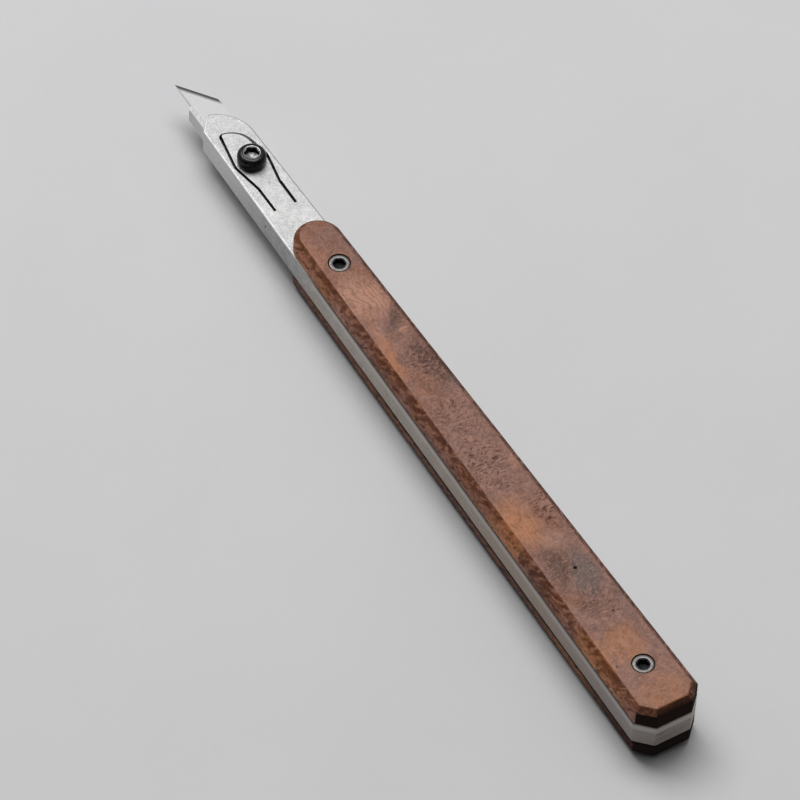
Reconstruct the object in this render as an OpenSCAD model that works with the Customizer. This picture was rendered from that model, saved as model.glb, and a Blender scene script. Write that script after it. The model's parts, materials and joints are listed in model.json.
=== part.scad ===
// Leather knife with a replaceable pointed blade.
// Two steel plates lie on each other between two wood scales. The upper plate has a
// spring tongue cut into it, and a cap screw pulls the tongue down on the blade, which
// lies in a channel of the lower plate.
// Lengths are in millimetres. x is measured from the butt end towards the blade, y to
// the left of someone who looks along the knife to its blade, and z up from the face
// that the knife lies on.

/* [Body] */
// Length from the butt end to the point of the upper plate's nose
body_length = 160.5; // [150:0.5:175]
// Width of the body's taper at the butt end, before its corners are cut
butt_width = 13.4; // [12.5:0.1:15]
// Width of the body's taper where the nose begins
nose_width = 8.4; // [8.2:0.1:10]
// Size of the cut butt corners, along and across
butt_cut = 3; // [1:0.1:4]
// Thickness of the upper plate, which carries the spring tongue
upper_plate_t = 1.6; // [1.2:0.1:2]
// Thickness of the lower plate, which carries the blade
lower_plate_t = 3.8; // [3:0.1:5]

/* [Nose] */
// Length of the short slanted cut on the left of the nose
nose_cut = 3.5; // [2.5:0.1:5]
// Distance of the nose's point to the left of the knife's axis
nose_point_y = 1.4; // [0.8:0.1:2]
// Set-back of the nose's front edge from its point to its right side
nose_lean = 2.6; // [1.5:0.1:4]
// Radius of the long curve on the right of the nose
nose_curve_r = 8.3; // [6:0.1:8.5]
// Radius of the nose's point
nose_point_r = 1.2; // [0.6:0.1:1.5]
// Reach of the left corner of the lower plate's lip past the nose's point
lip_reach = 5.4; // [3:0.1:6]
// Width of the lip
lip_width = 6.1; // [5.8:0.1:7]
// Rise of the lower plate's underside from the start of the nose to the lip's corner
lip_rise = 0.9; // [0.3:0.1:1.5]

/* [Spring tongue] */
// Distance from the clamp screw's axis forward to the nose's point
clamp_setback = 14.2; // [13.5:0.1:16]
// Length of the tongue from its root to the clamp screw's axis
tongue_length = 12.5; // [10:0.5:14]
// Length of the tongue from the clamp screw's axis to its tip
tongue_tip = 8.6; // [8:0.1:9]
// Width between the slit's two legs
tongue_leg_width = 4.4; // [4:0.1:5]
// Width of the tongue's bulb beside the clamp screw
tongue_bulb_width = 6.8; // [6.4:0.1:7]
// Width of the slit on both sides of the tongue
slit_width = 0.55; // [0.3:0.05:0.6]
// Width of the slit in front of the tongue
tip_slit_width = 0.3; // [0.2:0.05:0.6]

/* [Blade] */
// Width of the blade
blade_width = 5.3; // [4.6:0.1:5.5]
// Distance of the blade's middle to the right of the knife's axis
blade_shift = 0.45; // [0:0.05:0.5]
// Thickness of the blade
blade_t = 0.78; // [0.45:0.01:1]
// Reach of the blade's tip past the nose's point
blade_reach = 10.6; // [9:0.1:14]
// Angle between the cutting edge and the blade's back
blade_angle = 37; // [30:1:45]
// Width of the ground bevel along the cutting edge
bevel_width = 1.2; // [0.8:0.1:1.6]

/* [Clamp screw] */
// Diameter of the clamp screw's head
clamp_head_d = 5.5; // [5:0.1:5.6]
// Height of the clamp screw's head
clamp_head_h = 2.6; // [2.2:0.1:3]
// Radius of the head's rounded shoulder
clamp_shoulder_r = 1; // [0.4:0.1:1]
// Diameter of the clamp screw's plain shank
clamp_shank_d = 2.6; // [2.4:0.1:2.8]
// Key size of the clamp screw's hex socket, across the flats
clamp_key = 2.5; // [2:0.5:2.5]

/* [Scales] */
// Thickness of each wood scale
scale_t = 4; // [3:0.1:6]
// Size of the bevel round each scale's outer edge
scale_bevel = 1.15; // [0.5:0.05:1.5]
// Set-back of the scales' long sides from the plates' sides
scale_inset = 0.15; // [0:0.05:0.3]
// Distance from the centre of the scales' round front to the nose's point
scale_setback = 38.5; // [37:0.5:45]

/* [Handle screws] */
// Distance of the rear handle screw from the butt end
rear_screw_x = 10.6; // [8:0.1:20]
// Distance between the two handle screws
screw_spacing = 104; // [90:0.5:104]
// Diameter of the screw and sleeve heads
pillar_head_d = 3.9; // [3.6:0.1:4]
// Height of the screw and sleeve heads
pillar_head_h = 1.9; // [1.6:0.1:2.2]
// Outside diameter of the sleeve nuts
sleeve_d = 3.2; // [3:0.1:3.4]
// Diameter of the handle screws' shanks
pillar_shank_d = 2; // [1.6:0.1:2.2]
// Key size of the handle screws' and sleeves' hex sockets, across the flats
pillar_key = 2; // [1.5:0.5:2]

/* [Hidden] */
$fn = 64;

// Room that a cutting solid has past the face that it cuts
past = 1;
// Gaps of the fits
blade_side_gap = 0.05;
blade_top_gap = 0.02;
clamp_thread_gap = 0.2;
tongue_hole_gap = 0.3;
sleeve_gap = 0.04;
thread_gap = 0.02;
head_gap = 0.2;
head_sink = 0.1;

// Places along the knife
overall_length = body_length + blade_reach;
nose_start = body_length - nose_cut;
clamp_x = body_length - clamp_setback;
tongue_root = clamp_x - tongue_length;
scale_front_x = body_length - scale_setback;
front_screw_x = rear_screw_x + screw_spacing;

// Heights
lower_plate_z = scale_t;
seam_z = lower_plate_z + lower_plate_t;
plate_top_z = seam_z + upper_plate_t;
overall_height = plate_top_z + scale_t;

// Blade and its channel
channel_depth = blade_t + blade_top_gap;
blade_z = seam_z - channel_depth;
blade_tail = clamp_x + clamp_shank_d / 2 + 0.35;
blade_tip = overall_length;
blade_heel = blade_tip - blade_width / tan(blade_angle);
edge_land = 0.04;

// Bores
clamp_hole_d = clamp_shank_d + 2 * clamp_thread_gap;
sleeve_hole_d = sleeve_d + 2 * sleeve_gap;
head_hole_d = pillar_head_d + 2 * head_gap;
head_hole_depth = pillar_head_h + head_sink;
socket_depth = 1.2;
clamp_socket_depth = 1.4;
sleeve_end_gap = 1.4;
sleeve_length = overall_height - 2 * head_hole_depth - sleeve_end_gap;

// The body's taper
taper_slope = (butt_width - nose_width) / 2 / nose_start;
function half_width(x) = butt_width / 2 - taper_slope * x;

function unit(v) = v / norm(v);
function shortest_turn(a) = a > 180 ? a - 360 : a < -180 ? a + 360 : a;

// Points of the arc of radius r that rounds corner b of the path a, b, c
function rounded_corner(a, b, c, r, steps = 20) =
    r == 0 ? [b] :
    let (
        back = unit(a - b),
        ahead = unit(c - b),
        half_angle = acos(back * ahead) / 2,
        centre = b + unit(back + ahead) * r / sin(half_angle),
        first = b + back * r / tan(half_angle) - centre,
        last = b + ahead * r / tan(half_angle) - centre,
        start = atan2(first.y, first.x),
        turn = shortest_turn(atan2(last.y, last.x) - start)
    )
    [for (i = [0 : steps]) centre + r * [cos(start + turn * i / steps), sin(start + turn * i / steps)]];

// Outline of a closed path of [x, y, radius] corners
function rounded(path) =
    let (count = len(path), point = [for (p = path) [p.x, p.y]])
    [for (i = [0 : count - 1])
        each rounded_corner(point[(i + count - 1) % count], point[i], point[(i + 1) % count], path[i].z)];

butt_corner_r = 0.4;
butt_half = half_width(butt_cut) - butt_cut;

// Corners of the upper plate, from the right of the butt round the nose to the left
upper_plate_path = [
    [0, -butt_half, butt_corner_r],
    [butt_cut, -half_width(butt_cut), butt_corner_r],
    [body_length - nose_lean, -half_width(body_length - nose_lean), nose_curve_r],
    [body_length, nose_point_y, nose_point_r],
    [nose_start, half_width(nose_start), 0],
    [butt_cut, half_width(butt_cut), butt_corner_r],
    [0, butt_half, butt_corner_r]
];

// Corners of the lip, whose front edge is parallel to the cutting edge
lip_root = clamp_x;
lip_front = body_length + lip_reach;
lip_corner_r = 0.6;
lip_path = [
    [lip_root, -lip_width / 2, 0],
    [lip_front - lip_width / tan(blade_angle), -lip_width / 2, lip_corner_r],
    [lip_front, lip_width / 2, lip_corner_r],
    [lip_root, lip_width / 2, 0]
];

// Corners of the spring tongue, moved out from the slit's centre line by grow at the
// sides and by tip_grow in front
flare_start = clamp_x - 6.4;
bulb_x = clamp_x + 0.2;
tip_half = 1.95;
tip_lean = 1.1;
flare_r = 4;
bulb_r = 3.4;
tip_left_r = 0.75;
tip_right_r = 4.3;
function tongue_path(grow, tip_grow) =
    let (leg = tongue_leg_width / 2 + grow, bulb = tongue_bulb_width / 2 + grow)
    [
        [tongue_root, -leg, 0],
        [flare_start, -leg, flare_r - grow],
        [bulb_x, -bulb, bulb_r + grow],
        [clamp_x + tongue_tip - tip_lean + tip_grow, -tip_half - grow, tip_right_r + grow],
        [clamp_x + tongue_tip + tip_grow, tip_half + grow, tip_left_r + grow],
        [bulb_x, bulb, bulb_r + grow],
        [flare_start, leg, flare_r - grow],
        [tongue_root, leg, 0]
    ];

// Puts the origin under the middle of the whole knife
module from_butt() {
    translate([-overall_length / 2, 0, 0]) children();
}

module prism(path, bottom, height) {
    translate([0, 0, bottom]) linear_extrude(height) polygon(rounded(path));
}

// Bar that cuts a bevel along the edge from p to q of a plate whose top is at z = top.
// The plate lies on the left of the edge, and the bevel is inset wide and drop deep.
module edge_cutter(p, q, top, inset, drop) {
    run = q - p;
    lead = 2 * butt_width;
    rise = drop / inset * past;
    translate([p.x, p.y, top])
    rotate([0, 0, atan2(run.y, run.x)])
    translate([-lead, 0, 0])
    rotate([90, 0, 90])
    linear_extrude(norm(run) + 2 * lead)
    polygon([[-past, -drop - rise], [inset + past, rise], [-past, rise]]);
}

// Holes for the sleeves of both handle screws
module sleeve_holes(height) {
    for (x = [rear_screw_x, front_screw_x])
        translate([x, 0, -past]) cylinder(d = sleeve_hole_d, h = height + 2 * past);
}

// Outline of the scales: the body's taper, a little set back, and its cut butt corners,
// with a half-round front
module scale_outline() {
    front_half = half_width(scale_front_x) - scale_inset;
    corner = [butt_cut - scale_inset, half_width(butt_cut) - scale_inset];
    polygon([
        [scale_front_x, front_half],
        corner,
        [0, butt_half],
        [0, -butt_half],
        [corner.x, -corner.y],
        [scale_front_x, -front_half]
    ]);
    translate([scale_front_x, 0]) circle(r = front_half);
}

// One wood scale, inner face at z = 0 and outer face at z = scale_t
module scale_body() {
    difference() {
        hull() {
            linear_extrude(scale_t - scale_bevel) scale_outline();
            linear_extrude(scale_t) offset(delta = -scale_bevel) scale_outline();
        }
        sleeve_holes(scale_t);
        for (x = [rear_screw_x, front_screw_x])
            translate([x, 0, scale_t - head_hole_depth])
            cylinder(d = head_hole_d, h = head_hole_depth + past);
    }
}

module hex_socket(key, depth) {
    translate([0, 0, -depth]) cylinder(d = key / cos(30), h = depth + past, $fn = 6);
}

// Sleeve nut that stands on its head, which lies in the lower scale
module sleeve_nut(x) {
    translate([x, 0, head_sink])
    difference() {
        union() {
            cylinder(d = pillar_head_d, h = pillar_head_h);
            cylinder(d = sleeve_d, h = pillar_head_h + sleeve_length);
        }
        translate([0, 0, pillar_head_h])
            cylinder(d = pillar_shank_d + 2 * thread_gap, h = sleeve_length + past);
        mirror([0, 0, 1]) hex_socket(pillar_key, socket_depth);
    }
}

// Screw whose head lies in the upper scale and whose shank runs down into its sleeve
module handle_screw(x) {
    shank_length = overall_height - 2 * head_hole_depth - 2;
    translate([x, 0, overall_height - head_sink])
    difference() {
        union() {
            translate([0, 0, -pillar_head_h]) cylinder(d = pillar_head_d, h = pillar_head_h);
            translate([0, 0, -pillar_head_h - shank_length])
                cylinder(d = pillar_shank_d, h = shank_length + pillar_head_h / 2);
        }
        hex_socket(pillar_key, socket_depth);
    }
}

module lower_scale() {
    color("saddlebrown") from_butt() translate([0, 0, scale_t]) mirror([0, 0, 1]) scale_body();
}

module upper_scale() {
    color("sienna") from_butt() translate([0, 0, plate_top_z]) scale_body();
}

// Wedge that lifts the underside of the nose and its lip
module underside_wedge() {
    slope = lip_rise / (lip_front - nose_start);
    end = lip_front + past;
    translate([0, butt_width / 2, lower_plate_z])
    rotate([90, 0, 0])
    linear_extrude(butt_width)
    polygon([[nose_start, 0], [end, slope * (end - nose_start)], [end, -past], [nose_start, -past]]);
}

// The lower plate: the nose's outline with a lip in front, the blade's channel, which
// ends round the clamp screw, the clamp screw's hole and a pin hole in the left side
module lower_plate() {
    channel_width = blade_width + 2 * blade_side_gap;
    pin_hole_d = 0.5;
    pin_hole_depth = 0.6;
    pin_hole_x = tongue_root - 0.5;
    pin_hole_z = seam_z - 0.9;
    color("lightgray") from_butt()
    difference() {
        union() {
            prism(upper_plate_path, lower_plate_z, lower_plate_t);
            prism(lip_path, lower_plate_z, lower_plate_t);
        }
        underside_wedge();
        translate([clamp_x, -blade_shift - channel_width / 2, blade_z])
            cube([lip_front - clamp_x + past, channel_width, channel_depth + past]);
        translate([clamp_x, -blade_shift, blade_z])
            cylinder(d = channel_width, h = channel_depth + past);
        translate([clamp_x, 0, lower_plate_z - past])
            cylinder(d = clamp_hole_d, h = lower_plate_t + 2 * past);
        translate([0, 0, lower_plate_z]) sleeve_holes(lower_plate_t);
        translate([pin_hole_x, half_width(pin_hole_x) - pin_hole_depth, pin_hole_z])
            rotate([-90, 0, 0]) cylinder(d = pin_hole_d, h = pin_hole_depth + past);
    }
}

module upper_plate() {
    color("gainsboro") from_butt()
    difference() {
        prism(upper_plate_path, seam_z, upper_plate_t);
        prism(tongue_path(slit_width / 2, tip_slit_width / 2), seam_z - past, upper_plate_t + 2 * past);
        translate([0, 0, seam_z]) sleeve_holes(upper_plate_t);
    }
}

module clamp_tongue() {
    color("whitesmoke") from_butt()
    difference() {
        prism(tongue_path(-slit_width / 2, -tip_slit_width / 2), seam_z, upper_plate_t);
        translate([clamp_x, 0, seam_z - past])
            cylinder(d = clamp_shank_d + 2 * tongue_hole_gap, h = upper_plate_t + 2 * past);
    }
}

module front_sleeve_nut() {
    color("darkgray") from_butt() sleeve_nut(front_screw_x);
}

module rear_sleeve_nut() {
    color("darkgray") from_butt() sleeve_nut(rear_screw_x);
}

module front_handle_screw() {
    color("gray") from_butt() handle_screw(front_screw_x);
}

module rear_handle_screw() {
    color("gray") from_butt() handle_screw(rear_screw_x);
}

module blade() {
    half = blade_width / 2;
    grind = (blade_t - edge_land) / 2;
    outline = [
        [blade_tail, -half],
        [blade_heel, -half],
        [blade_tip, half],
        [blade_tail, half]
    ];
    color("silver") from_butt()
    translate([0, -blade_shift, blade_z])
    difference() {
        linear_extrude(blade_t) polygon(outline);
        edge_cutter(outline[1], outline[2], blade_t, bevel_width, grind);
        mirror([0, 0, 1]) edge_cutter(outline[1], outline[2], 0, bevel_width, grind);
    }
}

// Cap screw with a rounded shoulder, whose shank ends inside the lower plate
module clamp_screw() {
    shank_length = upper_plate_t + lower_plate_t - 0.4;
    crown_r = clamp_head_d / 2 - clamp_shoulder_r;
    color("dimgray") from_butt()
    translate([clamp_x, 0, plate_top_z])
    difference() {
        union() {
            cylinder(d = clamp_head_d, h = clamp_head_h - clamp_shoulder_r);
            cylinder(r = crown_r, h = clamp_head_h);
            translate([0, 0, clamp_head_h - clamp_shoulder_r])
                rotate_extrude()
                intersection() {
                    translate([crown_r, 0]) circle(r = clamp_shoulder_r);
                    square(clamp_head_d);
                }
            translate([0, 0, -shank_length]) cylinder(d = clamp_shank_d, h = shank_length + past);
        }
        translate([0, 0, clamp_head_h]) hex_socket(clamp_key, clamp_socket_depth);
    }
}

lower_scale();
lower_plate();
upper_plate();
upper_scale();
front_sleeve_nut();
rear_sleeve_nut();
front_handle_screw();
rear_handle_screw();
blade();
clamp_tongue();
clamp_screw();
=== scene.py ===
# %% [markdown]
# # A leather knife
# This lesson dresses a small leather knife: two steel plates between two wood scales, a
# pointed blade, and a spring tongue that a black cap screw pulls down on the blade.
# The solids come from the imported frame, in metres, with +X towards the blade's tip and +Z
# up. Every finished piece rides on one of the frame's bodies, so it moves when they do.

# %% Load the frame
import json
import math

import bmesh
import bpy
from mathutils import Matrix, Vector

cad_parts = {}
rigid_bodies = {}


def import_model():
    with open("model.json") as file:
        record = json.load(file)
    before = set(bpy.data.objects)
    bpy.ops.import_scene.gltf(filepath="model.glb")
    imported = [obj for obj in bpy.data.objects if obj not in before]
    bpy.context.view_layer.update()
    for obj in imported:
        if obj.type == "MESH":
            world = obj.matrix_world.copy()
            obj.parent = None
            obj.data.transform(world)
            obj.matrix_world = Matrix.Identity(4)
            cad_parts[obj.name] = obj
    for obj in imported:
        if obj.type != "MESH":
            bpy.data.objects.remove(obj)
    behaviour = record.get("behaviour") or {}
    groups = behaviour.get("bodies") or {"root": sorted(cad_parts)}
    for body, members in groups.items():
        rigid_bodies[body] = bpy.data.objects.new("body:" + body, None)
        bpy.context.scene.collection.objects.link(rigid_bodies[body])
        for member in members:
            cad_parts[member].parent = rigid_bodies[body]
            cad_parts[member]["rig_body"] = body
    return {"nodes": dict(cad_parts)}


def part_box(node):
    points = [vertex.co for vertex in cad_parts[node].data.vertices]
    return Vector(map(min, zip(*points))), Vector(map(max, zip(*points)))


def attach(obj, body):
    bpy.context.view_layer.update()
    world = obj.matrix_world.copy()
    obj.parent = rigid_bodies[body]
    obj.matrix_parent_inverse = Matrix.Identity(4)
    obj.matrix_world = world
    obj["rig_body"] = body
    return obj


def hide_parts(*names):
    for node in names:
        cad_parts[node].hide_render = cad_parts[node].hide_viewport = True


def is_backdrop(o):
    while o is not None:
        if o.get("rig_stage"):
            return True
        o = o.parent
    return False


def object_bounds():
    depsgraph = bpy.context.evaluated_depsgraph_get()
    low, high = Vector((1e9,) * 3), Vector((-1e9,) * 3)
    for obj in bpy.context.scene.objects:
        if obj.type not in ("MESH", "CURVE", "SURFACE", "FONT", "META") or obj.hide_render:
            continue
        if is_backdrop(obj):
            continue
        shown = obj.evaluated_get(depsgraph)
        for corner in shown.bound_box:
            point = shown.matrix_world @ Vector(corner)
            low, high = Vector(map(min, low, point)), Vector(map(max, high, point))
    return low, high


MM = 0.001
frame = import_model()
cad_low, cad_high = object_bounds()
print("solids:", len(frame["nodes"]), "size in mm:", [round(v / MM, 2) for v in cad_high - cad_low])

# %% [markdown]
# ## The camera
# The photograph looks down on the knife from behind its butt with a long lens. A long lens
# keeps the knife's two sides almost parallel, so the distance and the focal length matter
# as much as the angle. The camera is aimed with three axes (right, up and back), because a
# small roll is easier to state that way than with Euler angles.

# %% Place the camera
AIM = Vector((-1.11, 5.06, 9.4)) * MM
HEADING = math.radians(-33.156)
ELEVATION = math.radians(51.581)
ROLL = math.radians(-2.819)
DISTANCE = 1231.9 * MM
LENS = 307.77

ahead = Vector((math.cos(HEADING), math.sin(HEADING), 0))
level_right = Vector((math.sin(HEADING), -math.cos(HEADING), 0))
forward = ahead * math.cos(ELEVATION) - Vector((0, 0, math.sin(ELEVATION)))
level_up = ahead * math.sin(ELEVATION) + Vector((0, 0, math.cos(ELEVATION)))
right = level_right * math.cos(ROLL) - level_up * math.sin(ROLL)
up = level_right * math.sin(ROLL) + level_up * math.cos(ROLL)

camera_data = bpy.data.cameras.new("photo_camera")
camera_data.lens = LENS
camera_data.sensor_width = 36
camera_data.clip_start = 0.05
camera_data.clip_end = 20
camera = bpy.data.objects.new("photo_camera", camera_data)
bpy.context.scene.collection.objects.link(camera)
turn = Matrix((right, up, -forward)).transposed().to_4x4()
camera.matrix_world = Matrix.Translation(AIM - forward * DISTANCE) @ turn
bpy.context.scene.camera = camera
print("camera at", [round(v, 3) for v in camera.location])

# %% [markdown]
# ## Node helpers
# Materials here are small node trees. They could be clicked together in the editor, but a
# script can be read, changed and run again. A few helpers keep it readable: they add a
# node, join two sockets, and start a material or a shader node group with named inputs and
# outputs. A group is the right tool for an effect that several finishes share.

# %% Helpers for node trees


def add(tree, kind, values=None, **settings):
    """A new node of this kind, with settings as attributes and values as input values."""
    node = tree.nodes.new(kind)
    for name, value in settings.items():
        setattr(node, name, value)
    for name, value in (values or {}).items():
        node.inputs[name].default_value = value
    return node


def join(tree, source, target):
    """Joins (node, output) to (node, input)."""
    tree.links.new(source[0].outputs[source[1]], target[0].inputs[target[1]])


def new_group(name, inputs, outputs):
    """A shader node group: inputs are (name, kind, value), outputs are (name, kind)."""
    group = bpy.data.node_groups.new(name, "ShaderNodeTree")
    for label, kind, value in inputs:
        socket = group.interface.new_socket(label, in_out="INPUT", socket_type="NodeSocket" + kind)
        if value is not None:
            socket.default_value = value
    for label, kind in outputs:
        group.interface.new_socket(label, in_out="OUTPUT", socket_type="NodeSocket" + kind)
    return group, add(group, "NodeGroupInput"), add(group, "NodeGroupOutput")


def new_material(name):
    """An empty material with a Principled shader, its node tree and Object coordinates."""
    material = bpy.data.materials.new(name)
    material.use_nodes = True
    tree = material.node_tree
    shader = tree.nodes["Principled BSDF"]
    coordinates = add(tree, "ShaderNodeTexCoord")
    return material, tree, shader, coordinates


# %% Helpers for colours and masks


def plug(tree, source, socket):
    """Joins (node, output) to an input socket, or sets the socket to a plain value."""
    if isinstance(source, tuple) and hasattr(source[0], "outputs"):
        tree.links.new(source[0].outputs[source[1]], socket)
    elif source is not None:
        socket.default_value = source


def mix_colours(tree, factor, first, second, blend="MIX"):
    """A colour mix. factor, first and second are sockets as (node, name), or plain values."""
    node = add(tree, "ShaderNodeMix", data_type="RGBA", blend_type=blend)
    for source, index in ((factor, 0), (first, 6), (second, 7)):
        plug(tree, source, node.inputs[index])
    return node, 2


def maths(tree, operation, first, second=None):
    """A Math node. first and second are sockets as (node, name), or plain values."""
    node = add(tree, "ShaderNodeMath", operation=operation)
    for index, source in enumerate((first, second)):
        plug(tree, source, node.inputs[index])
    return node, "Value"


def times(tree, *factors):
    """The product of sockets and plain values."""
    product = factors[0]
    for factor in factors[1:]:
        product = maths(tree, "MULTIPLY", product, factor)
    return product


def strongest(tree, masks):
    """The largest of several masks."""
    best = masks[0]
    for mask in masks[1:]:
        best = maths(tree, "MAXIMUM", best, mask)
    return best


def range_of(tree, source, low, high, to_low=0.0, to_high=1.0):
    """A smooth step of a value from low..high to to_low..to_high."""
    limits = {"From Min": low, "From Max": high, "To Min": to_low, "To Max": to_high}
    node = add(tree, "ShaderNodeMapRange", limits, interpolation_type="SMOOTHSTEP")
    join(tree, source, (node, "Value"))
    return node, "Result"


def between(tree, source, places, to_low=0.0, to_high=1.0):
    """A smooth step between two places in mm, the first with to_low, the second with to_high."""
    return range_of(tree, source, places[0] * MM, places[1] * MM, to_low, to_high)


def parts_of(tree, source):
    """A node that gives a vector's X, Y and Z."""
    node = add(tree, "ShaderNodeSeparateXYZ")
    join(tree, source, (node, "Vector"))
    return node


# %% [markdown]
# ## Effects that finishes share
# Three effects come back in several finishes. Mottle is a soft cloudy mask at one size.
# Scratches are thin hairlines in one direction, made from noise that is stretched a lot.
# Worn edge is a mask that is bright along sharp edges: the Bevel node gives the normal that
# a rounded edge would have, and where that differs from the real normal there is an edge.

# %% Mottle
mottle_group, source, result = new_group(
    "mottle",
    [("Vector", "Vector", None), ("Size", "Float", 0.002), ("Contrast", "Float", 0.2)],
    [("Mask", "Float")],
)
frequency = maths(mottle_group, "DIVIDE", 1.0, (source, "Size"))
clouds = add(mottle_group, "ShaderNodeTexNoise", {"Detail": 5.0, "Roughness": 0.6})
join(mottle_group, (source, "Vector"), (clouds, "Vector"))
join(mottle_group, frequency, (clouds, "Scale"))
steps = add(mottle_group, "ShaderNodeMapRange", interpolation_type="SMOOTHSTEP")
join(mottle_group, (clouds, "Fac"), (steps, "Value"))
join(mottle_group, maths(mottle_group, "SUBTRACT", 0.5, (source, "Contrast")), (steps, "From Min"))
join(mottle_group, maths(mottle_group, "ADD", 0.5, (source, "Contrast")), (steps, "From Max"))
join(mottle_group, (steps, "Result"), (result, "Mask"))


def mottled(tree, place, size, contrast):
    """The mottle mask at a size in mm."""
    values = {"Size": size * MM, "Contrast": contrast}
    node = add(tree, "ShaderNodeGroup", values, node_tree=mottle_group)
    join(tree, place, (node, "Vector"))
    return node, "Mask"


print("mottle nodes:", len(mottle_group.nodes))

# %% Scratches
scratch_group, source, result = new_group(
    "scratches",
    [
        ("Vector", "Vector", None),
        ("Angle", "Float", 0.0),
        ("Length", "Float", 0.01),
        ("Width", "Float", 0.0001),
    ],
    [("Mask", "Float")],
)
turned = add(scratch_group, "ShaderNodeVectorRotate", rotation_type="Z_AXIS")
join(scratch_group, (source, "Vector"), (turned, "Vector"))
join(scratch_group, (source, "Angle"), (turned, "Angle"))
stretch = add(scratch_group, "ShaderNodeCombineXYZ")
join(scratch_group, maths(scratch_group, "DIVIDE", 1.0, (source, "Length")), (stretch, "X"))
across = maths(scratch_group, "DIVIDE", 1.0, (source, "Width"))
join(scratch_group, across, (stretch, "Y"))
join(scratch_group, across, (stretch, "Z"))
scaled = add(scratch_group, "ShaderNodeVectorMath", operation="MULTIPLY")
join(scratch_group, (turned, "Vector"), (scaled, 0))
join(scratch_group, (stretch, "Vector"), (scaled, 1))
hairs = add(scratch_group, "ShaderNodeTexNoise", {"Scale": 1.0, "Detail": 2.0})
join(scratch_group, (scaled, "Vector"), (hairs, "Vector"))
join(scratch_group, range_of(scratch_group, (hairs, "Fac"), 0.52, 0.72), (result, "Mask"))


def scratched(tree, place, angle, length, width):
    """The scratches mask, its hairlines at an angle, with a length and a width in mm."""
    values = {"Angle": angle, "Length": length * MM, "Width": width * MM}
    node = add(tree, "ShaderNodeGroup", values, node_tree=scratch_group)
    join(tree, place, (node, "Vector"))
    return node, "Mask"


print("scratch nodes:", len(scratch_group.nodes))

# %% Worn edges
edge_group, source, result = new_group(
    "worn edge",
    [("Radius", "Float", 0.0002), ("Softness", "Float", 0.25)],
    [("Mask", "Float")],
)
rounded = add(edge_group, "ShaderNodeBevel", samples=6)
join(edge_group, (source, "Radius"), (rounded, "Radius"))
true_normal = add(edge_group, "ShaderNodeNewGeometry")
facing = add(edge_group, "ShaderNodeVectorMath", operation="DOT_PRODUCT")
join(edge_group, (rounded, "Normal"), (facing, 0))
join(edge_group, (true_normal, "Normal"), (facing, 1))
turned_away = maths(edge_group, "SUBTRACT", 1.0, (facing, "Value"))
wear = add(edge_group, "ShaderNodeMapRange", interpolation_type="SMOOTHSTEP")
join(edge_group, turned_away, (wear, "Value"))
join(edge_group, (source, "Softness"), (wear, "From Max"))
join(edge_group, (wear, "Result"), (result, "Mask"))


def worn(tree, radius, softness):
    """The worn edge mask, as wide as a rounding of this radius in mm."""
    values = {"Radius": radius * MM, "Softness": softness}
    return add(tree, "ShaderNodeGroup", values, node_tree=edge_group), "Mask"


def raise_relief(tree, shader, height, strength, depth, invert=False):
    """Relief in a shader's normal from a height mask, with a depth in mm."""
    values = {"Strength": strength, "Distance": depth * MM}
    relief = add(tree, "ShaderNodeBump", values, invert=invert)
    join(tree, height, (relief, "Height"))
    join(tree, (relief, "Normal"), (shader, "Normal"))


print("node groups:", sorted(g.name for g in bpy.data.node_groups))

# %% [markdown]
# ## The wood
# The scales are an oiled burl wood. Seen from a step away they are a warm brown with pale
# and orange clouds, a few dark ones and a greyer right side.
# Noise alone would make some burl, but a person who knows this handle knows where its pale
# and dark places are. So a handful of soft spots is listed, and the coordinates they use
# are bent by noise, which breaks their outlines.

# %% Places and colours of the wood
WOOD_BROWN = (0.188, 0.066, 0.029, 1)
WOOD_MAUVE = (0.212, 0.100, 0.074, 1)
WOOD_PALE = (0.430, 0.205, 0.130, 1)
WOOD_ORANGE = (0.375, 0.138, 0.047, 1)
WOOD_GREY = (0.090, 0.058, 0.052, 1)
WOOD_SHADE = (0.075, 0.026, 0.014, 1)

# Each spot is a centre and a half size in mm, a turn in degrees and a strength
MAUVE_CLOUDS = [
    ((-18, 0), (16, 7), 0, 0.85),
    ((-60, -2), (9, 5), 0, 0.6),
    ((34, -3.4), (6, 2.4), 0, 0.8),
]
PALE_CLOUDS = [
    ((20, 0.5), (7.5, 6.5), 0, 0.95),
    ((10, 2.6), (5, 2.2), -20, 0.5),
    ((-25.5, -4.2), (3, 1.8), 0, 0.5),
    ((9.8, -2.1), (0.5, 2.2), 12, 0.8),
    ((-44, 0), (3, 4), 20, 0.4),
]
ORANGE_CLOUDS = [
    ((-38, 3), (7.5, 5.5), 0, 1),
    ((-70, 1.5), (5, 6), 0, 0.6),
    ((-82, 0.5), (6, 7), 0, 0.5),
    ((33, 4), (8, 3.5), 0, 0.4),
    ((4.3, 3.2), (8, 2.2), -8, 0.75),
    ((26, 6.4), (11, 2.4), 0, 0.5),
    ((-38, 6.4), (8, 2.4), 0, 0.8),
    ((-70, 6.3), (12, 2.4), 0, 0.85),
]
GREY_CLOUDS = [
    ((-53, -1.8), (7.5, 4), 0, 1),
    ((31, -4.4), (6, 2), 0, 0.3),
    ((-3, -4.6), (6, 2), 0, 0.75),
    ((-63, -4), (7, 1.8), 0, 0.4),
]
SHADE_CLOUDS = [
    ((-49.5, 2.2), (6.5, 3.6), 0, 0.95),
    ((1.5, -2.6), (8.5, 3.4), -5, 0.95),
    ((13.3, -2.6), (4.8, 1.9), -21, 1),
    ((-60, 0.5), (5, 3.2), 0, 0.4),
    ((-51, 6.2), (7, 2), 0, 0.7),
    ((-20, 6.3), (11, 2), 0, 0.4),
    ((3, 6.2), (8, 2), 0, 0.55),
]
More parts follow.
